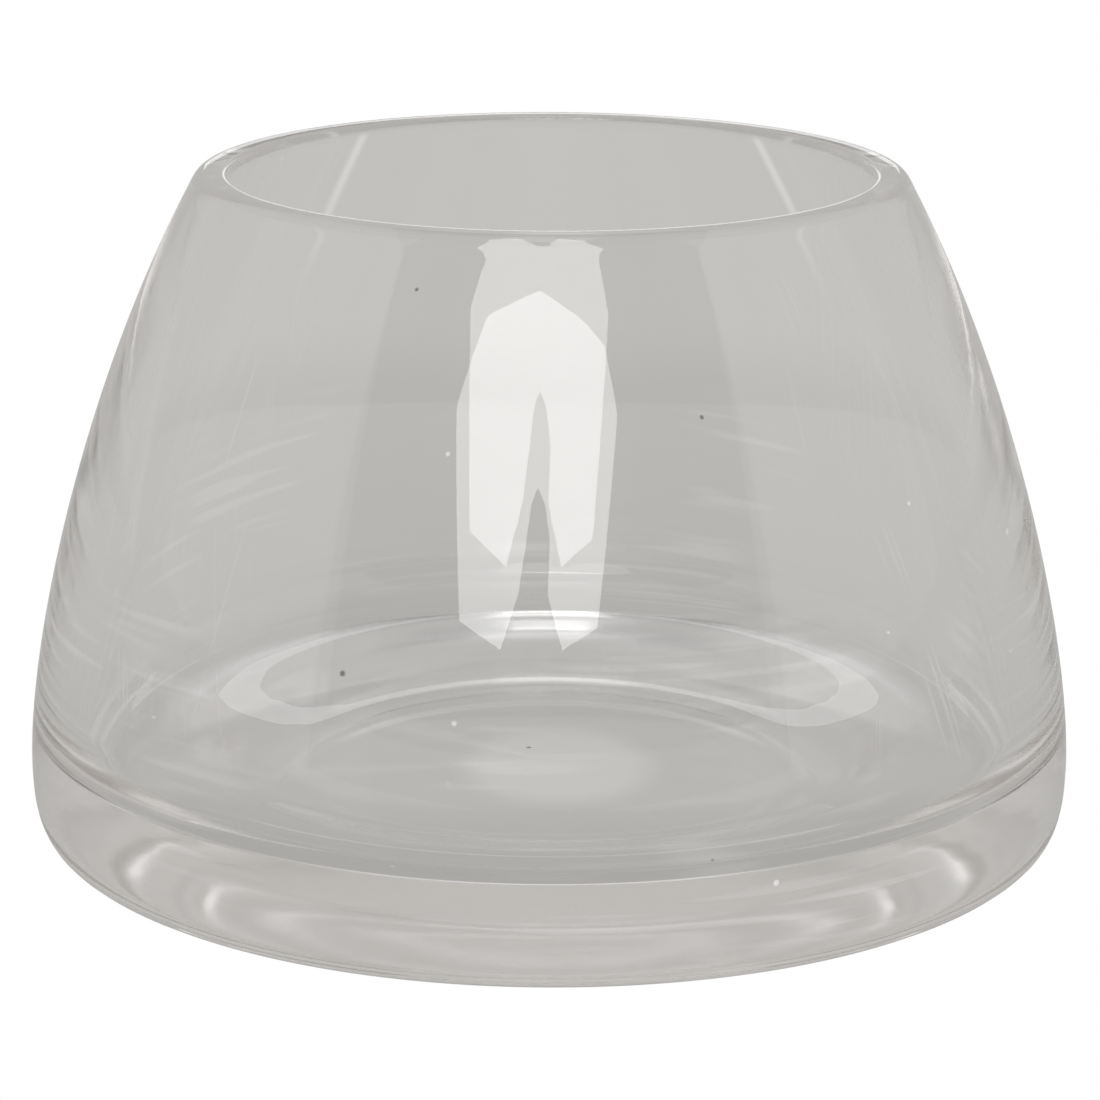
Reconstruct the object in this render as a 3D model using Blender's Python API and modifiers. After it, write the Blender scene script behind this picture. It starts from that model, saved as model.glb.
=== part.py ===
"""Tapered votive candle holder: one thick-based cup of clear glass, turned about +Z.

The cup stands on a flat ring at z = 0. Inside that ring the underside steps up gently to a
flat recess. A rounded heel leads to the widest part, and the wall leans in from there to
an open mouth. The floor inside slopes down from its edge to a flat middle, where a candle stands.
The section is worked out as a list of (radius, height) points in metres.
"""

import math

import bmesh
import bpy
from mathutils import Vector
from mathutils.geometry import interpolate_bezier

# Outside of the cup
HEIGHT = 0.0704
BODY_RADIUS = 0.0550
RIM_RADIUS = 0.0365
FOOT_RADIUS = 0.0488
HEEL_HEIGHT = 0.0085

# Curve of the wall: how far it rises almost upright, how far it runs almost straight
# below the rim, and how far it leans in there
UPRIGHT_RUN = 0.0109
STRAIGHT_RUN = 0.0259
RIM_LEAN = math.radians(28.7)

# Glass of the wall, how late on the way up it thins, and its rounded edge at the mouth
RIM_WALL = 0.0031
FOOT_WALL = 0.00545
WALL_THINNING = 2.0
RIM_EDGE_ROUND = 0.0009

# Inside of the floor: its edge, the fillet up to the wall, a level ring and the sunk middle
FLOOR_HEIGHT = 0.0095
FILLET_ACROSS = 0.0040
FILLET_UP = 0.0055
FLOOR_RING = 0.0022
SINK_SLOPE = 0.0190
SINK_DEPTH = 0.0040

# Underside: the ring that the cup stands on and the recess inside it
FOOT_RING = 0.0128
RECESS_SLOPE = 0.0100
RECESS_DEPTH = 0.0012

# Fineness of the section and of the turning
WALL_POINTS = 15
HEEL_POINTS = 9
FILLET_POINTS = 6
EDGE_POINTS = 4
SLOPE_POINTS = 8
TURNING_STEPS = 96
MERGE_DISTANCE = 0.00001

# Share of a leg that a Bezier handle takes: a true round arc, the fuller heel, and an even slope
ARC_HANDLE = 0.5523
HEEL_HANDLE = 0.8075
SLOPE_HANDLE = 1 / 3

GLASS_COLOUR = (0.86, 0.87, 0.85, 1.0)
GLASS_ROUGHNESS = 0.02
GLASS_IOR = 1.52


def round_corner(start, corner, end, points, handle=ARC_HANDLE):
    """Points of a round from start to end, which would otherwise meet at the corner."""
    leave = start.lerp(corner, handle)
    arrive = end.lerp(corner, handle)
    return interpolate_bezier(start, leave, arrive, end, points)


def level_slope(start, end):
    """Points of a slope from start to end that leaves and arrives level."""
    reach = Vector(((end.x - start.x) * SLOPE_HANDLE, 0.0))
    return interpolate_bezier(start, start + reach, end - reach, end, SLOPE_POINTS)


def up_the_wall():
    """Direction of the wall where it meets the rim."""
    return Vector((-math.sin(RIM_LEAN), math.cos(RIM_LEAN)))


def outer_wall():
    """Outside of the wall, from the widest part up to where the rim's edge starts to round."""
    bottom = Vector((BODY_RADIUS, HEEL_HEIGHT))
    top = Vector((RIM_RADIUS, HEIGHT)) - up_the_wall() * RIM_EDGE_ROUND
    leave = bottom + Vector((0.0, UPRIGHT_RUN))
    arrive = top - up_the_wall() * STRAIGHT_RUN
    return interpolate_bezier(bottom, leave, arrive, top, WALL_POINTS)


def inner_wall(outside):
    """Inside of the wall, from the top of the floor's fillet up: the outside, moved in by the wall."""
    inside = []
    last = len(outside) - 1
    for index, point in enumerate(outside):
        before = outside[max(index - 1, 0)]
        after = outside[min(index + 1, last)]
        along = (after - before).normalized()
        wall = FOOT_WALL + (RIM_WALL - FOOT_WALL) * (index / last) ** WALL_THINNING
        inside.append(point + Vector((-along.y, along.x)) * wall)
    lowest = FLOOR_HEIGHT + FILLET_UP
    above = [point for point in inside if point.y > lowest]
    below = [point for point in inside if point.y <= lowest][-1]
    share = (lowest - below.y) / (above[0].y - below.y)
    return [below.lerp(above[0], share)] + above


def floor_inside(inside):
    """The inside of the floor, from its sunk middle out and over the fillet to the foot of the wall."""
    wall_foot = inside[0]
    up = inside[1] - wall_foot
    corner = wall_foot - up * (FILLET_UP / up.y)
    edge = corner - Vector((FILLET_ACROSS, 0.0))
    fillet = round_corner(edge, corner, wall_foot, FILLET_POINTS)

    slope_top = edge - Vector((FLOOR_RING, 0.0))
    slope_foot = slope_top - Vector((SINK_SLOPE, SINK_DEPTH))
    middle = Vector((0.0, slope_foot.y))
    return [middle] + level_slope(slope_foot, slope_top) + fillet


def underside():
    """The foot from the ring that the cup stands on to the middle of its recess."""
    ring_edge = Vector((FOOT_RADIUS - FOOT_RING, 0.0))
    panel_edge = ring_edge + Vector((-RECESS_SLOPE, RECESS_DEPTH))
    middle = Vector((0.0, RECESS_DEPTH))
    return level_slope(ring_edge, panel_edge) + [middle]


def cup_section():
    """The glass from the middle of its floor, up the inside, over the rim and down the outside."""
    outside = outer_wall()
    inside = inner_wall(outside)

    last_run = inside[-1] - inside[-2]
    run_before = inside[-2] - inside[-3]
    inner_up = (last_run + (last_run - run_before) / 2).normalized()
    mouth_corner = inside[-1] + inner_up * ((HEIGHT - inside[-1].y) / inner_up.y)
    mouth_start = mouth_corner - inner_up * RIM_EDGE_ROUND
    mouth_flat = mouth_corner + Vector((RIM_EDGE_ROUND, 0.0))
    mouth = round_corner(mouth_start, mouth_corner, mouth_flat, EDGE_POINTS)

    rim_corner = Vector((RIM_RADIUS, HEIGHT))
    rim_flat = rim_corner - Vector((RIM_EDGE_ROUND, 0.0))
    rim = round_corner(rim_flat, rim_corner, outside[-1], EDGE_POINTS)

    heel_corner = Vector((BODY_RADIUS, 0.0))
    foot_edge = Vector((FOOT_RADIUS, 0.0))
    heel = round_corner(outside[0], heel_corner, foot_edge, HEEL_POINTS, HEEL_HANDLE)

    return (
        floor_inside(inside)
        + inside[1:]
        + mouth
        + rim
        + outside[-2:0:-1]
        + heel
        + underside()
    )


def glass_material():
    """Clear polished glass."""
    material = bpy.data.materials.new("clear_glass")
    material.use_nodes = True
    shader = material.node_tree.nodes["Principled BSDF"]
    shader.inputs["Base Color"].default_value = GLASS_COLOUR
    shader.inputs["Roughness"].default_value = GLASS_ROUGHNESS
    shader.inputs["Metallic"].default_value = 0.0
    shader.inputs["IOR"].default_value = GLASS_IOR
    shader.inputs["Transmission Weight"].default_value = 1.0
    return material


def turned(name, section, collection):
    """An object made by turning a section once about +Z."""
    mesh = bpy.data.meshes.new(name)
    shape = bmesh.new()
    corners = [shape.verts.new((point.x, 0.0, point.y)) for point in section]
    for first, second in zip(corners, corners[1:]):
        shape.edges.new((first, second))
    shape.to_mesh(mesh)
    shape.free()

    piece = bpy.data.objects.new(name, mesh)
    collection.objects.link(piece)
    screw = piece.modifiers.new("turning", "SCREW")
    screw.axis = "Z"
    screw.angle = math.tau
    screw.steps = TURNING_STEPS
    screw.render_steps = TURNING_STEPS
    screw.use_smooth_shade = True
    screw.use_merge_vertices = True
    screw.merge_threshold = MERGE_DISTANCE
    return piece


def main():
    for old in list(bpy.data.objects):
        bpy.data.objects.remove(old)
    collection = bpy.data.collections.new("votive_candle_holder")
    bpy.context.scene.collection.children.link(collection)

    cup = turned("glass_cup", cup_section(), collection)
    cup.data.materials.append(glass_material())


main()
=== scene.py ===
# %% [markdown]
# A votive candle holder of clear glass
#
# This lesson dresses one plain turned solid as polished glass. The solid comes from the packed
# model, which already has the right size and stands in the right place. Clear glass has hardly
# any colour of its own: what the eye reads is its shape, its thickness and what it reflects. So
# most of the steps below are about a very smooth mesh, a few honest flaws, and a studio worth
# reflecting.

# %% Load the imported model
import math

import bmesh
import bpy
import numpy
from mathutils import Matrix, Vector
from numpy.polynomial import polynomial


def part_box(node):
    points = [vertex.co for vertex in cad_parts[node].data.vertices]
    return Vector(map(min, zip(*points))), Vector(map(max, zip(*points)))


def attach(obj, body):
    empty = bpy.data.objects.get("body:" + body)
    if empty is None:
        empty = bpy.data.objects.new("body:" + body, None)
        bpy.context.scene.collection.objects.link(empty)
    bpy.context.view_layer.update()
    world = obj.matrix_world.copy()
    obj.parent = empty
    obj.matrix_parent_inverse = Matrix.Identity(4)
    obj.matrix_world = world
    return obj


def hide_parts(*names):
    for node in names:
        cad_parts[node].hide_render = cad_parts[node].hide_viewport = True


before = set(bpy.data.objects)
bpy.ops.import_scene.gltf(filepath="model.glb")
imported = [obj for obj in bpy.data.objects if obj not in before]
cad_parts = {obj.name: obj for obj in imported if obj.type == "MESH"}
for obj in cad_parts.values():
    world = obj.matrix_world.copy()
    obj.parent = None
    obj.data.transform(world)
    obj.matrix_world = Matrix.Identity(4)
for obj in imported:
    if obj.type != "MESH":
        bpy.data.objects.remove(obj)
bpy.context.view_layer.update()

MM = 0.001
cup_low, cup_high = (Vector(corner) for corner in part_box("glass_cup"))
print("the cup measures", [round(size / MM, 1) for size in cup_high - cup_low], "mm")

# %% [markdown]
# The camera
#
# A product photograph of a small cup is taken from near by with a long lens, a little from
# above. A camera can be placed by eye, but a lens length, a distance and a tilt that are written
# down can be measured and changed one at a time. A long lens keeps the mouth a slim ellipse and
# the base nearly as wide as the wall.

# %% Place the camera
CAMERA_LENS_MM = 135.9
CAMERA_DISTANCE = 423.8 * MM
CAMERA_HEIGHT = 145.6 * MM
CAMERA_TILT_DOWN = 0.2673
CAMERA_ROLL = -0.0040

camera_data = bpy.data.cameras.new("camera")
camera_data.lens = CAMERA_LENS_MM
camera = bpy.data.objects.new("camera", camera_data)
camera.location = (0.0, -CAMERA_DISTANCE, CAMERA_HEIGHT)
camera.rotation_mode = "YXZ"
camera.rotation_euler = (math.pi / 2 - CAMERA_TILT_DOWN, 0.0, 0.0)
camera.rotation_euler.rotate_axis("Z", -CAMERA_ROLL)
bpy.context.scene.collection.objects.link(camera)
bpy.context.scene.camera = camera
print("camera looks down by", round(math.degrees(CAMERA_TILT_DOWN), 1), "degrees")

# %% [markdown]
# The section of the glass
#
# The cup was turned, so one half section holds its whole shape: the floor, the inside of the
# wall, the rim, the outside, the heel and the foot. It could be drawn again here, but then two
# drawings would have to agree. It is read from the solid instead: the corners that lie in the
# half plane at +X, walked in order along their edges.

# %% Read the half section from the solid
HAIR = 0.001 * MM


def half_section(solid):
    """The (radius, height) points of a turned solid, from the middle of its floor to its foot."""
    shape = bmesh.new()
    shape.from_mesh(solid.data)
    bmesh.ops.remove_doubles(shape, verts=shape.verts, dist=HAIR)
    in_plane = {
        corner for corner in shape.verts if abs(corner.co.y) < HAIR and corner.co.x > HAIR
    }
    beside = {}
    for corner in in_plane:
        others = [edge.other_vert(corner) for edge in corner.link_edges]
        beside[corner] = [other for other in others if other in in_plane]
    ends = [corner for corner in in_plane if len(beside[corner]) == 1]
    walked = [max(ends, key=lambda corner: corner.co.z)]
    while len(walked) < len(in_plane):
        walked += [corner for corner in beside[walked[-1]] if corner not in walked][:1]
    section = [Vector((corner.co.x, corner.co.z)) for corner in walked]
    shape.free()
    return [Vector((0.0, section[0].y))] + section + [Vector((0.0, section[-1].y))]


section = half_section(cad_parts["glass_cup"])
print("the section has", len(section), "points and ends at", section[-1])

# %% [markdown]
# The two long curves of the wall
#
# The solid is made of flat facets, which is fine for weighing and bumping into things, but glass
# shows every facet as a broken line. Even a curve drawn through the corners one by one wavers a
# little, and a lamp that is reflected in it gets ragged edges. The inside and the outside of the
# wall were each drawn as one long sweep, so one polynomial is fitted to all the corners of a
# sweep at once. It can't waver, because it has too few bends.

# %% Fit one sweep to each side of the wall
WALL_INSIDE = (15.4 * MM, 69.0 * MM)
WALL_OUTSIDE = (8.4 * MM, 69.7 * MM)
SWEEP_ORDER = 5
SWEEP_POINTS = 60


def one_sweep(points):
    """Many points on the one long curve that a row of evenly drawn points came from."""
    even = numpy.linspace(0.0, 1.0, len(points))
    fine = numpy.linspace(0.0, 1.0, SWEEP_POINTS)
    sweep = polynomial.polyfit(even, [tuple(point) for point in points], SWEEP_ORDER)
    return [Vector(place) for place in polynomial.polyval(fine, sweep).T]


def swept(points, lowest, highest):
    """The points with those between two heights put on one sweep."""
    wall = [index for index, point in enumerate(points) if lowest < point.y < highest]
    first, after = wall[0], wall[-1] + 1
    return points[:first] + one_sweep(points[first:after]) + points[after:]


rim_top = max(range(len(section)), key=lambda index: section[index].y)
long_section = swept(section[:rim_top], *WALL_INSIDE) + swept(section[rim_top:], *WALL_OUTSIDE)
print("the section now has", len(long_section), "points")

# %% [markdown]
# A smooth curve through the rest
#
# The floor, the fillet, the rim, the heel and the foot keep their corners, and a curve runs
# through them. Each point gets a direction from its two neighbours, the nearer one counting
# more, and long straight runs keep their own direction, so the floor and the foot stay flat. The
# curve then bends from one direction to the next, by the four weights of a Hermite curve.

# %% Draw a smooth curve through the points
STRAIGHT_RUN = 8 * MM
FINEST_STEP = 0.8 * MM


def directions(points):
    """The direction of the curve at each point."""
    runs = [after - before for before, after in zip(points, points[1:])]
    found = [runs[0].normalized()]
    for before, after in zip(runs, runs[1:]):
        if before.length > STRAIGHT_RUN:
            found.append(before.normalized())
        elif after.length > STRAIGHT_RUN:
            found.append(after.normalized())
        else:
            way = before / before.length**2 + after / after.length**2
            if before.x * after.x <= 0.0:
                way.x = 0.0
            if before.y * after.y <= 0.0:
                way.y = 0.0
            found.append(way.normalized())
    found.append(runs[-1].normalized())
    return found


def smooth_curve(points):
    """Points about one step apart on a curve through the given points."""
    found = [points[0]]
    ways = directions(points)
    for index, (start, end) in enumerate(zip(points, points[1:])):
        reach = (end - start).length
        leave, arrive = ways[index] * reach, ways[index + 1] * reach
        steps = max(2, math.ceil(reach / FINEST_STEP))
        for step in range(1, steps + 1):
            t = step / steps
            found.append(
                start * (2 * t**3 - 3 * t**2 + 1)
                + leave * (t**3 - 2 * t**2 + t)
                + end * (3 * t**2 - 2 * t**3)
                + arrive * (t**3 - t**2)
            )
    return found


fine_section = smooth_curve(long_section)
print("the smooth section has", len(fine_section), "points")

# %% [markdown]
# Rings and swells in the glass
#
# Glass that was spun in a mould keeps faint rings and slow swells that bend reflections. They
# are far too fine to see as shape, about two hundredths of a millimetre at most, yet they are
# what draws the fine streaks through the thick base. A bump in the material could stand for
# them, but as shape they stay with the cup wherever it is used. They only ever take glass
# away, so the cup keeps its size.

# %% Work out the rings and the swells
RING_LENGTHS = (2.1 * MM, 3.4 * MM, 6.7 * MM)
RING_DEPTH_WALL = 0.0002 * MM
RING_DEPTH_BASE = 0.0030 * MM
RING_DRIFT = 0.8
RING_WAVES = 2
BASE_TOP = 24 * MM
SWELL_DEPTH = 0.003 * MM
SWELLS_AROUND = 3
SWELL_SLANT = 40.0


def ring_depth(height):
    """Depth of the mould rings: deeper low down, where the glass is thick and cooled slowly."""
    low = max(0.0, 1.0 - height / BASE_TOP)
    return RING_DEPTH_WALL + (RING_DEPTH_BASE - RING_DEPTH_WALL) * low


def taken_away(along, height, angle):
    """How much glass the rings and swells take off at one place, never less than nothing."""
    rings = 0.0
    for order, length in enumerate(RING_LENGTHS):
        drift = RING_DRIFT * math.sin((order + RING_WAVES) * angle + order)
        rings += 1.0 + math.sin(math.tau * along / length + drift)
    swell = 1.0 + math.sin(SWELLS_AROUND * angle + SWELL_SLANT * along)
    return rings * ring_depth(height) + swell * SWELL_DEPTH * min(1.0, height / BASE_TOP)


deepest = 2 * len(RING_LENGTHS) * ring_depth(0.0)
print("the rings are at most", round(deepest / MM, 3), "mm deep")

# %% [markdown]
# Turning the glass
#
# A Screw modifier would turn the section evenly. Here each place takes its own rings and swells,
# so the corners are laid row by row as the section is turned, and joined to closed glass. The
# level faces of the floor and the foot were pressed flat, and keep no rings.

# %% Turn the cup
AROUND = 240
LEVEL = 0.02


def outward(points):
    """The direction out of the glass at each point of the section."""
    last = len(points) - 1
    found = []
    for index in range(last + 1):
        along = (points[min(index + 1, last)] - points[max(index - 1, 0)]).normalized()
        found.append(Vector((-along.y, along.x)))
    return found


def turned_cup(name, points):
    """The section turned into a closed mesh, with one corner on the axis at each end."""
    shape = bmesh.new()
    out = outward(points)
    rows = []
    travelled = 0.0
    for index, point in enumerate(points[1:-1], start=1):
        travelled += (point - points[index - 1]).length
        level = abs(out[index].x) < LEVEL
        row = []
        for step in range(AROUND):
            angle = math.tau * step / AROUND
            depth = 0.0 if level else taken_away(travelled, point.y, angle)
            place = point - out[index] * depth
            corner = (place.x * math.cos(angle), place.x * math.sin(angle), place.y)
            row.append(shape.verts.new(corner))
        rows.append(row)
    for first, second in zip(rows, rows[1:]):
        for step in range(AROUND):
            following = (step + 1) % AROUND
            shape.faces.new((first[step], second[step], second[following], first[following]))
    for point, row in ((points[0], rows[0]), (points[-1], rows[-1])):
        middle = shape.verts.new((0.0, 0.0, point.y))
        for step in range(AROUND):
            shape.faces.new((middle, row[step], row[(step + 1) % AROUND]))
    bmesh.ops.recalc_face_normals(shape, faces=shape.faces)
    for face in shape.faces:
        face.smooth = True
    mesh = bpy.data.meshes.new(name)
    shape.to_mesh(mesh)
    shape.free()
    piece = bpy.data.objects.new(name, mesh)
    bpy.context.scene.collection.objects.link(piece)
    return piece


cup = turned_cup("polished_cup", fine_section)
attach(cup, "root")
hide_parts("glass_cup")
print("the cup's mesh has", len(cup.data.polygons), "faces")

# %% [markdown]
# Where a mark lies on the glass
#
# Marks on a turned cup run up the wall or around it, so it helps to unroll the cup: one
# direction is the angle about the axis and the other is the height. Both come from the place on
# the object itself, so the marks stay put when the camera moves. The two helpers keep the node
# code short. They find their node tree through a socket, which knows the tree that it is in.

# %% Unroll the cup for its marks
glass = bpy.data.materials.new("clear_glass")
glass.use_nodes = True
glass_nodes, glass_links = glass.node_tree.nodes, glass.node_tree.links


def worked_out(operation, *values):
    """The result of a Math node on sockets and plain numbers."""
    tree = next(value.id_data for value in values if isinstance(value, bpy.types.NodeSocket))
    node = tree.nodes.new("ShaderNodeMath")
    node.operation = operation
    for socket, value in zip(node.inputs, values):
        if isinstance(value, bpy.types.NodeSocket):
            tree.links.new(value, socket)
        else:
            socket.default_value = value
    return node.outputs["Value"]


def fading(value, start, end, low=0.0, high=1.0):
    """A soft step that goes from low to high while the value goes from start to end."""
    tree = value.id_data
    node = tree.nodes.new("ShaderNodeMapRange")
    node.interpolation_type = "SMOOTHSTEP"
    tree.links.new(value, node.inputs["Value"])
    numbers = (("From Min", start), ("From Max", end), ("To Min", low), ("To Max", high))
    for name, number in numbers:
        node.inputs[name].default_value = number
    return node.outputs["Result"]


place = glass_nodes.new("ShaderNodeTexCoord").outputs["Object"]
place_parts = glass_nodes.new("ShaderNodeSeparateXYZ")
glass_links.new(place, place_parts.inputs["Vector"])
right, back, height = place_parts.outputs
around = worked_out("ARCTAN2", back, right)
right_square = worked_out("MULTIPLY", right, right)
radius = worked_out("SQRT", worked_out("MULTIPLY_ADD", back, back, right_square))
print("the cup is unrolled by", len(glass_nodes), "nodes")

# %% [markdown]
# Inside and outside, and clouds to choose by
#
# At each height the wall has two faces, and a mark lies on one of them. A curve up the middle of
# the wall tells them apart: its radius at the table, its slope there and its bend are enough.
# A noise texture on the unrolled cup then gives soft clouds, stretched at will, that choose
# where the marks lie. The two faces read places far apart in it, so they don't share their marks.

# %% Tell the two faces of the wall apart
MID_WALL_FOOT = 51.95 * MM
MID_WALL_SLOPE = 0.0175
MID_WALL_BEND = -3.75
FACES_APART = 9.0

mid_wall = worked_out("MULTIPLY_ADD", height, MID_WALL_BEND, MID_WALL_SLOPE)
mid_wall = worked_out("MULTIPLY_ADD", mid_wall, height, MID_WALL_FOOT)
outside = worked_out("GREATER_THAN", radius, mid_wall)
inside = worked_out("SUBTRACT", 1.0, outside)


def unrolled(per_radian, per_metre):
    """The unrolled place, with so many units to a radian around and to a metre up."""
    join = glass_nodes.new("ShaderNodeCombineXYZ")
    parts = ((around, per_radian), (height, per_metre), (outside, FACES_APART))
    for socket, (value, scale) in zip(join.inputs, parts):
        glass_links.new(worked_out("MULTIPLY", value, scale), socket)
    return join.outputs["Vector"]


def cloudy(vector):
    """A soft random value at each place, with clouds about one unit across."""
    node = glass_nodes.new("ShaderNodeTexNoise")
    node.inputs["Scale"].default_value = 1.0
    node.inputs["Detail"].default_value = 0.0
    glass_links.new(vector, node.inputs["Vector"])
    return node.outputs["Fac"]


def joined(operation, *masks):
    """Masks joined by one operation: MULTIPLY keeps what all share, MAXIMUM what any has."""
    total = masks[0]
    for mask in masks[1:]:
        total = worked_out(operation, total, mask)
    return total


print("the marks are laid out by", len(glass_nodes), "nodes so far")

# %% [markdown]
# Scratches
#
# Years of being picked up and wiped leave hairline scratches that run up the wall. A hairline is
# where a random value that changes only around the cup passes through its middle: that gives
# straight thin lines up the wall. A lean lets them slant, and a broad cloud keeps them to a few
# patches of the outside, left and right, where a hand holds the cup. Each set of scratches says
# how close its lines are, how far they lean and how rare its patches are.

# %% Draw the scratches
HAIRLINE = 0.008
NOISE_MIDDLE = 0.5
SCRATCH_SETS = ((11.0, 5.0, 0.48), (26.0, -3.0, 0.50))
LINES_TO_A_PATCH = 3
PATCH_PER_METRE = 70.0
PATCH_SOFTNESS = 0.14
WALL_STARTS = (14 * MM, 24 * MM)
WALL_ENDS = (69 * MM, 62 * MM)
SIDES_START = (0.40, 0.75)


def hairlines(per_radian, lean):
    """Thin straight lines up the wall that lean by so many radians to a metre."""
    node = glass_nodes.new("ShaderNodeTexNoise")
    node.noise_dimensions = "1D"
    node.inputs["Scale"].default_value = per_radian
    node.inputs["Detail"].default_value = 0.0
    glass_links.new(worked_out("MULTIPLY_ADD", height, lean, around), node.inputs["W"])
    off_middle = worked_out("SUBTRACT", node.outputs["Fac"], NOISE_MIDDLE)
    return fading(worked_out("ABSOLUTE", off_middle), 0.0, HAIRLINE, 1.0, 0.0)


scratch_sets = []
for per_radian, lean, rareness in SCRATCH_SETS:
    cloud = cloudy(unrolled(per_radian / LINES_TO_A_PATCH, PATCH_PER_METRE))
    patch = fading(cloud, rareness, rareness + PATCH_SOFTNESS)
    scratch_sets.append(joined("MULTIPLY", hairlines(per_radian, lean), patch))
on_the_wall = joined("MULTIPLY", fading(height, *WALL_STARTS), fading(height, *WALL_ENDS))
sideways = worked_out("DIVIDE", worked_out("ABSOLUTE", right), radius)
on_the_sides = joined("MULTIPLY", on_the_wall, fading(sideways, *SIDES_START), outside)
scratches = joined("MULTIPLY", joined("MAXIMUM", *scratch_sets), on_the_sides)
print(len(scratch_sets), "sets of scratches drawn")

# %% [markdown]
# Wipe marks
#
# A damp cloth leaves faint bands that go around the lower half of the cup. A noise that is
# stretched far around and pressed flat in height gives the bands, and a broader cloud keeps
# them to a few patches.

# %% Draw the wipe marks
WIPE_BANDS = (2.2, 900.0)
WIPE_BAND_STEP = (0.55, 0.72)
WIPE_PATCHES = (2.0, 55.0)
WIPE_PATCH_STEP = (0.54, 0.68)
WIPES_END = (40 * MM, 30 * MM)

# The wipe bands are painted light: all they do is let the glass glow faintly.
wipe_patch = fading(cloudy(unrolled(*WIPE_PATCHES)), *WIPE_PATCH_STEP)
wipe_bands = fading(cloudy(unrolled(*WIPE_BANDS)), *WIPE_BAND_STEP)
wipes = joined("MULTIPLY", wipe_bands, wipe_patch, fading(height, *WIPES_END))
print("wipe marks drawn up to", round(max(WIPES_END) / MM), "mm")

# %% [markdown]
# Dust and the cords in the glass
#
# A few specks of dust sit on the glass: some pale and lit, some dark. A Voronoi texture scatters
# points, and only the middle of a few of its cells is kept. Two pale cords, where the hot glass
# was drawn thin, run down the inside of the back wall from the rim and fade out. Each has its
# angle at the rim and its lean.

# %% Scatter the dust and draw the cords
DUST_CELLS = 230.0
DUST_RARENESS = 0.975
SPECK = (0.045, 0.09)
CORDS = ((math.radians(48.5), -8.0), (math.radians(127.6), 6.5))
CORD_TOP = 69.5 * MM
CORD_WIDTH = 0.030
CORDS_START = (46 * MM, 67 * MM)
CORDS_END = (69.8 * MM, 68.8 * MM)

cells = glass_nodes.new("ShaderNodeTexVoronoi")
cells.inputs["Scale"].default_value = DUST_CELLS
glass_links.new(place, cells.inputs["Vector"])
chance = glass_nodes.new("ShaderNodeSeparateColor")
glass_links.new(cells.outputs["Color"], chance.inputs["Color"])
speck = fading(cells.outputs["Distance"], *SPECK, 1.0, 0.0)
lit_dust, dark_dust = (
    joined("MULTIPLY", speck, worked_out("GREATER_THAN", chance.outputs[channel], DUST_RARENESS))
    for channel in ("Red", "Green")
)

# The cords are painted light as well: their paleness is a faint glow of the glass.
cord_lines = []
for angle, lean in CORDS:
    straightened = worked_out("MULTIPLY_ADD", height, lean, around)
    beside = worked_out("SUBTRACT", straightened, angle + lean * CORD_TOP)
    cord_lines.append(fading(worked_out("ABSOLUTE", beside), 0.0, CORD_WIDTH, 1.0, 0.0))
near_the_rim = joined("MULTIPLY", fading(height, *CORDS_START), fading(height, *CORDS_END))
cords = joined("MULTIPLY", joined("MAXIMUM", *cord_lines), near_the_rim, inside)
print("dust scattered, and", len(cord_lines), "cords drawn")

# %% [markdown]
# The glass itself
#
# The glass bends light by its index and takes a little colour where it is thick. The foot is
# satin from standing on tables, which also calms what is seen through the base. A mark scatters
# the studio's light towards every side, which a clear shader can't do, so each mark gives off a
# trace of light of its own. Dark dust takes light away instead.

# %% Make the glass
GLASS_INDEX = 1.52
GLASS_TINT = (0.93, 0.905, 0.89, 1.0)
GLASS_TINT_DENSITY = 7.0
FOOT_SATIN = 0.10
FOOT_ENDS = (1.6 * MM, 1.3 * MM)
MARK_ROUGHNESS = 0.25
SCRATCH_LIGHT = 0.060
WIPE_LIGHT = 0.040
CORD_LIGHT = 0.12
DUST_LIGHT = 0.25
DARK_DUST_COLOUR = 0.15


def grey(value):
    """A grey colour with the given brightness."""
    colour = glass_nodes.new("ShaderNodeCombineColor")
    for channel in ("Red", "Green", "Blue"):
        glass_links.new(value, colour.inputs[channel])
    return colour.outputs["Color"]


shader = glass_nodes["Principled BSDF"]
shader.inputs["IOR"].default_value = GLASS_INDEX
shader.inputs["Transmission Weight"].default_value = 1.0
shader.inputs["Emission Strength"].default_value = 1.0

satin = fading(height, *FOOT_ENDS, 0.0, FOOT_SATIN)
rough_marks = worked_out("MULTIPLY", joined("MAXIMUM", scratches, lit_dust), MARK_ROUGHNESS)
glass_links.new(joined("MAXIMUM", satin, rough_marks), shader.inputs["Roughness"])

# Painted glints: the scratches, wipe bands, cords and lit dust glow faintly, in place of the
# studio light that they would scatter.
light = worked_out("MULTIPLY", scratches, SCRATCH_LIGHT)
for marks, strength in ((wipes, WIPE_LIGHT), (cords, CORD_LIGHT), (lit_dust, DUST_LIGHT)):
    light = worked_out("MULTIPLY_ADD", marks, strength, light)
glass_links.new(grey(light), shader.inputs["Emission Color"])

clearness = fading(dark_dust, 0.0, 1.0, 1.0, DARK_DUST_COLOUR)
glass_links.new(grey(clearness), shader.inputs["Base Color"])

tint = glass_nodes.new("ShaderNodeVolumeAbsorption")
tint.inputs["Color"].default_value = GLASS_TINT
tint.inputs["Density"].default_value = GLASS_TINT_DENSITY
glass_links.new(tint.outputs["Volume"], glass_nodes["Material Output"].inputs["Volume"])

cup.data.materials.append(glass)
print("glass with an index of", GLASS_INDEX, "made of", len(glass_nodes), "nodes")

# %% [markdown]
# Surfaces that glow
#
# Glass is lit by what stands around it. Screens that are lit by lamps would do, but they make a
# render slow and grainy, so each surface of this studio gives off a soft light of its own. The
# first is the table's. It is plain white to the camera, as in a cut-out product photograph. The
# glass sees a greyer table that gets lighter towards its back edge.

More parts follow.
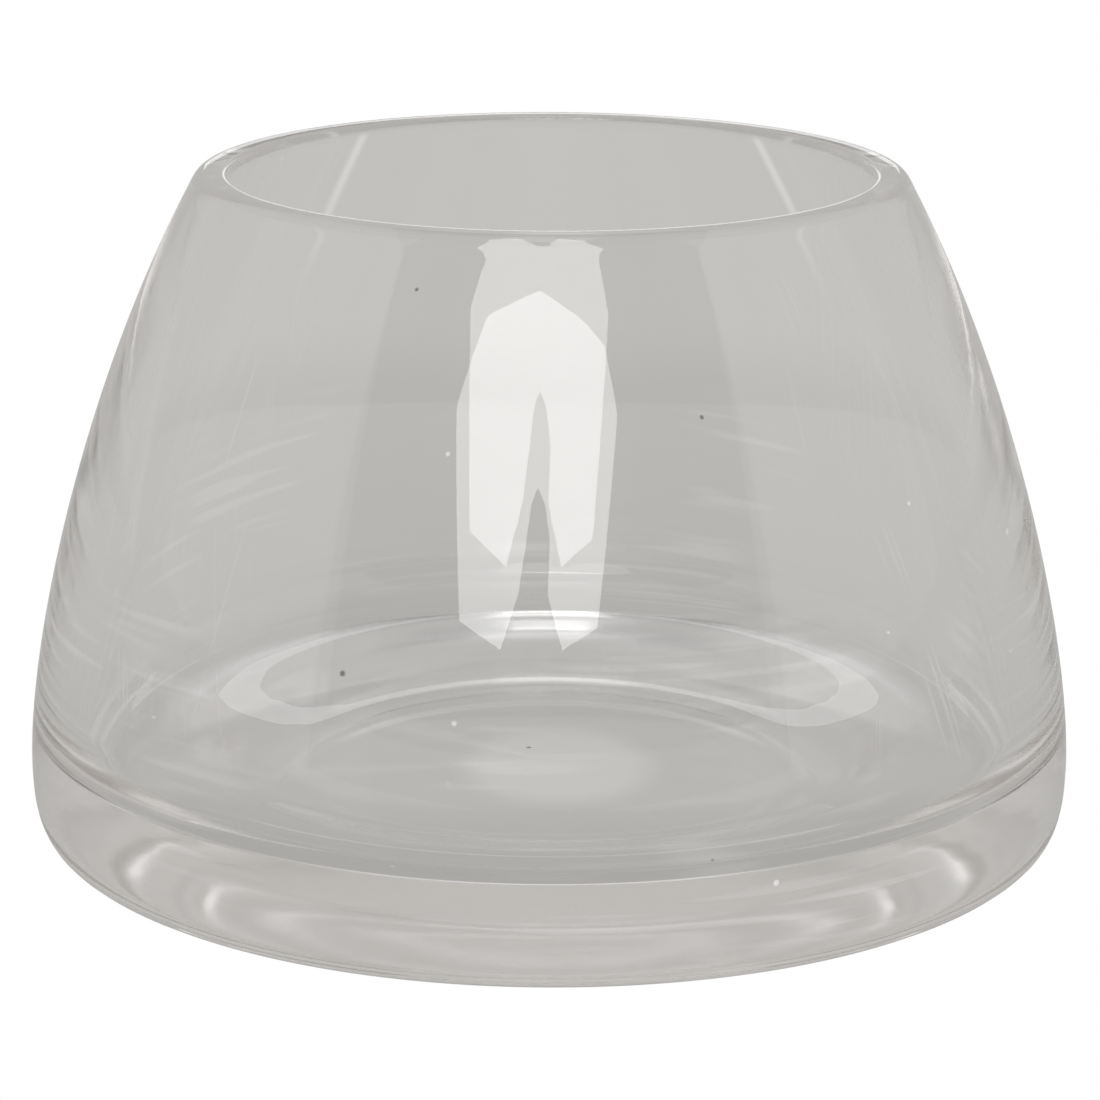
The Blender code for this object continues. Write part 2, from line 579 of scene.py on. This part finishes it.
# %% Make the table's soft glow
WHITE = (1.0, 1.0, 1.0, 1.0)
TABLE_COLOUR = (1.0, 0.985, 0.95, 1.0)
TABLE_BACK_EDGE = 0.165
TABLE_FADE = ("Y", (-0.04, 0.47), (TABLE_BACK_EDGE, 0.53))


def glowing(name, strength=1.0, colour=WHITE, white_to_camera=False):
    """A surface that gives off soft light, and can look plain white from the camera."""
    material = bpy.data.materials.new(name)
    material.use_nodes = True
    nodes, links = material.node_tree.nodes, material.node_tree.links
    nodes.remove(nodes["Principled BSDF"])
    glow = nodes.new("ShaderNodeEmission")
    glow.inputs["Color"].default_value = colour
    glow.inputs["Strength"].default_value = strength
    seen = glow
    if white_to_camera:
        white = nodes.new("ShaderNodeEmission")
        path = nodes.new("ShaderNodeLightPath")
        seen = nodes.new("ShaderNodeMixShader")
        links.new(path.outputs["Is Camera Ray"], seen.inputs["Fac"])
        links.new(glow.outputs["Emission"], seen.inputs[1])
        links.new(white.outputs["Emission"], seen.inputs[2])
    links.new(seen.outputs[0], nodes["Material Output"].inputs["Surface"])
    return material


def strength_of(material):
    """The socket that sets how strongly a surface glows."""
    return material.node_tree.nodes["Emission"].inputs["Strength"]


def fade_along(material, axis, near, far):
    """Let a glow change between two places along X, Y or Z, each with its own strength."""
    nodes, links = material.node_tree.nodes, material.node_tree.links
    split = nodes.new("ShaderNodeSeparateXYZ")
    links.new(nodes.new("ShaderNodeTexCoord").outputs["Object"], split.inputs["Vector"])
    faded = fading(split.outputs[axis], near[0], far[0], near[1], far[1])
    links.new(faded, strength_of(material))


table_glow = glowing("pale_table", colour=TABLE_COLOUR, white_to_camera=True)
fade_along(table_glow, *TABLE_FADE)
print("the table's glow is made of", len(table_glow.node_tree.nodes), "nodes")

# %% [markdown]
# The table
#
# The table is one wide flat face, a hair below the foot, so that the two never share a place.
# Only the table shows itself to the camera. The rest is seen in the glass alone.

# %% Lay the table
UNDER_THE_FOOT = 0.2 * MM
TABLE_REACH = 1.5


def flat_screen(name, corners, material, seen_by_camera=False):
    """A flat screen of the studio through the given corners."""
    mesh = bpy.data.meshes.new(name)
    shape = bmesh.new()
    shape.faces.new([shape.verts.new(corner) for corner in corners])
    shape.to_mesh(mesh)
    shape.free()
    mesh.materials.append(material)
    screen = bpy.data.objects.new(name, mesh)
    screen.visible_camera = seen_by_camera
    bpy.context.scene.collection.objects.link(screen)


def lying(left, right, front, back, height):
    """The corners of a level screen."""
    return [
        (left, front, height),
        (right, front, height),
        (right, back, height),
        (left, back, height),
    ]


table_top = -UNDER_THE_FOOT
table = lying(-TABLE_REACH, TABLE_REACH, -TABLE_REACH, TABLE_BACK_EDGE, table_top)
flat_screen("floor", table, table_glow, seen_by_camera=True)
print("the table ends", round(TABLE_BACK_EDGE / MM), "mm behind the cup's middle")

# %% [markdown]
# Shade and gathered light on the table
#
# A glass cup shades the table that it stands on, most of all on the side of the camera, and its
# thick floor gathers the lamp's light to a broad oval with a brighter patch in it. Rays that find
# their way through thick glass to make such a patch need a very long render. Four soft pools on
# the table, which only the glass sees, take their place. Each has a middle, half its width and
# depth in metres, how soft its edge is, and how much light it adds or takes.

# %% Shade the table under the cup
TABLE_POOLS = [
    ((0.0, 0.0), (0.058, 0.058), 0.12, -0.035),
    ((0.0, -0.0340), (0.0500, 0.0260), 0.25, -0.035),
    ((0.0, 0.0070), (0.0323, 0.0150), 0.06, 0.050),
    ((0.0010, 0.0060), (0.0100, 0.0115), 0.25, 0.110),
]


def add_pools(material, pools):
    """Add oval pools of more or less light to a glow that already fades."""
    nodes, links = material.node_tree.nodes, material.node_tree.links
    total = strength_of(material).links[0].from_socket
    place = nodes.new("ShaderNodeTexCoord").outputs["Object"]
    for (middle_x, middle_y), (half_x, half_y), softness, gain in pools:
        oval = nodes.new("ShaderNodeMapping")
        oval.inputs["Location"].default_value = (-middle_x / half_x, -middle_y / half_y, 0.0)
        oval.inputs["Scale"].default_value = (1 / half_x, 1 / half_y, 0.0)
        reach = nodes.new("ShaderNodeVectorMath")
        reach.operation = "LENGTH"
        links.new(place, oval.inputs["Vector"])
        links.new(oval.outputs["Vector"], reach.inputs[0])
        pool = fading(reach.outputs["Value"], 1.0 + softness, 1.0 - softness, 0.0, gain)
        total = worked_out("ADD", total, pool)
    links.new(total, strength_of(material))


add_pools(table_glow, TABLE_POOLS)
print(len(TABLE_POOLS), "pools of shade and light lie on the table")

# %% [markdown]
# The paper, the screens and the strip light
#
# A pale paper stands behind the table, a white screen on each side, and a dim wall behind the
# camera, which keeps the front of the glass clear of reflections. A narrow strip of light hangs
# low in front of the paper. The curved floor and base bend it into the thin bright arcs that
# make a thick base look heavy. A taller light there would only wash the base out.

# %% Stand up the paper, the screens and the strip light
PAPER_HEIGHT = 1.5
PAPER_FOOT_SHADE = ("Z", (0.0, 0.505), (0.012, 0.55))
STRIP_GLOW = 1.35
STRIP_HALF = 0.06
STRIP_HEIGHTS = (0.082, 0.096)
STRIP_BACK = TABLE_BACK_EDGE - 5 * MM
SCREEN_GLOW = 0.66
SCREEN_DISTANCE = 0.60
SCREEN_START = math.radians(52.0)
DIM_GLOW = 0.10
DIM_DISTANCE = 1.1
DIM_HEIGHT = 2.2


def upright(start, end, bottom, top):
    """The corners of an upright screen between two places on the plan."""
    return [(*start, bottom), (*end, bottom), (*end, top), (*start, top)]


def facing(half, depth, bottom, top):
    """The corners of an upright screen across the camera's view."""
    return upright((-half, depth), (half, depth), bottom, top)


paper_glow = glowing("pale_paper", colour=TABLE_COLOUR)
# Painted shade: the paper glows a little less over its lowest 12 mm, where it meets the table.
fade_along(paper_glow, *PAPER_FOOT_SHADE)
paper = facing(TABLE_REACH, TABLE_BACK_EDGE, -TABLE_REACH, PAPER_HEIGHT)
flat_screen("paper", paper, paper_glow)

strip = facing(STRIP_HALF, STRIP_BACK, *STRIP_HEIGHTS)
flat_screen("strip_light", strip, glowing("strip_light", STRIP_GLOW))

screen_front = -SCREEN_DISTANCE / math.tan(SCREEN_START)
for side, name in ((-SCREEN_DISTANCE, "left_screen"), (SCREEN_DISTANCE, "right_screen")):
    screen = upright((side, screen_front), (side, TABLE_BACK_EDGE), table_top, PAPER_HEIGHT)
    flat_screen(name, screen, glowing(name, SCREEN_GLOW))

dim_half = DIM_DISTANCE * math.tan(SCREEN_START)
dim_wall = facing(dim_half, -DIM_DISTANCE, table_top, DIM_HEIGHT)
flat_screen("dim_wall", dim_wall, glowing("dim_wall", DIM_GLOW))
print("paper, strip light, two screens and a dim wall stand around the cup")

# %% [markdown]
# The lamp
#
# The brightest thing in the room is a soft lamp above the camera. The front wall shows it twice,
# once from its outer face and once from its inner face, so its outline matters: its corners are
# given as angles seen from the cup, in degrees to the right and up. Its light is cut for rays
# that have wandered far, so the base doesn't fill with glints.

# %% Hang the soft lamp above the camera
LAMP_GLOW = 4.5
LAMP_DEEP_SHARE = 0.35
DEEP_RAYS = (3.0, 4.0)
LAMP_DISTANCE = 0.90
LAMP_CORNERS = [
    (-3.5, 43.0),
    (10.8, 39.8),
    (16.0, 37.5),
    (18.0, 31.6),
    (10.5, 15.6),
    (-4.0, 12.3),
    (-20.0, 15.6),
    (-25.5, 31.6),
    (-20.0, 39.8),
]


def dim_when_deep(material, strength, share):
    """Keep only a share of a light for rays that have already wandered through the glass."""
    nodes, links = material.node_tree.nodes, material.node_tree.links
    depth = nodes.new("ShaderNodeLightPath").outputs["Ray Depth"]
    links.new(fading(depth, *DEEP_RAYS, strength, strength * share), strength_of(material))


def studio_place(azimuth, elevation, distance):
    """A place seen from the cup at so many degrees right of the camera and above the table."""
    turn, lift = math.radians(azimuth), math.radians(elevation)
    along = distance * math.cos(lift)
    return Vector((along * math.sin(turn), -along * math.cos(turn), distance * math.sin(lift)))


lamp = [studio_place(*corner, LAMP_DISTANCE) for corner in LAMP_CORNERS]
lamp_glow = glowing("soft_lamp")
dim_when_deep(lamp_glow, LAMP_GLOW, LAMP_DEEP_SHARE)
flat_screen("soft_lamp", lamp, lamp_glow)
print("the lamp has", len(lamp), "corners")

# %% [markdown]
# The light overhead and the lamp's stand
#
# A smaller and weaker light hangs straight overhead: the fillet at the back of the floor catches
# it as a bright glint, and the rim as a thin line. A dark stand in front of the lamp splits the
# lower half of its reflection. It narrows towards its top, so its outline is given by corners
# too.

# %% Hang the light overhead and place the stand
OVERHEAD_GLOW = 1.5
OVERHEAD_HEIGHT = 0.70
OVERHEAD_HALF = (0.075, 0.22)
STAND_GLOW = 0.10
STAND_DISTANCE = 0.78
STAND_CORNERS = [
    (-3.0, 26.5),
    (-1.2, 25.2),
    (0.0, 22.5),
    (-0.5, 18.5),
    (5.0, 11.0),
    (-13.0, 11.0),
    (-7.0, 18.5),
    (-5.5, 22.5),
    (-4.6, 25.2),
]

half_across, half_deep = OVERHEAD_HALF
overhead = lying(-half_across, half_across, -half_deep, half_deep, OVERHEAD_HEIGHT)
flat_screen("overhead_light", overhead, glowing("overhead_light", OVERHEAD_GLOW))

stand = [studio_place(*corner, STAND_DISTANCE) for corner in STAND_CORNERS]
flat_screen("lamp_stand", stand, glowing("lamp_stand", STAND_GLOW))
print("the light hangs", OVERHEAD_HEIGHT, "m up, and the stand has", len(stand), "corners")

# %% [markdown]
# The room, and how far light may wander
#
# Everything beyond the screens is an even, dim room, again plain white to the camera. In the
# thick base a ray can be reflected from face to face dozens of times before it gets out. A ray
# that is cut off early comes back black, so the limits on bounces are set high.

# %% Light the rest of the room
ROOM_GLOW = 0.5
DEEPEST_BOUNCE = 64

world = bpy.data.worlds.new("room")
bpy.context.scene.world = world
world.use_nodes = True
nodes, links = world.node_tree.nodes, world.node_tree.links
dim = nodes["Background"]
dim.inputs["Strength"].default_value = ROOM_GLOW
dim.inputs["Color"].default_value = WHITE
white = nodes.new("ShaderNodeBackground")
white.inputs["Color"].default_value = WHITE
path = nodes.new("ShaderNodeLightPath")
seen = nodes.new("ShaderNodeMixShader")
links.new(path.outputs["Is Camera Ray"], seen.inputs["Fac"])
links.new(dim.outputs["Background"], seen.inputs[1])
links.new(white.outputs["Background"], seen.inputs[2])
links.new(seen.outputs["Shader"], nodes["World Output"].inputs["Surface"])

scene = bpy.context.scene
scene.view_settings.view_transform = "Standard"
scene.cycles.max_bounces = DEEPEST_BOUNCE
scene.cycles.transmission_bounces = DEEPEST_BOUNCE
scene.cycles.glossy_bounces = DEEPEST_BOUNCE
print("a ray may bounce", DEEPEST_BOUNCE, "times")
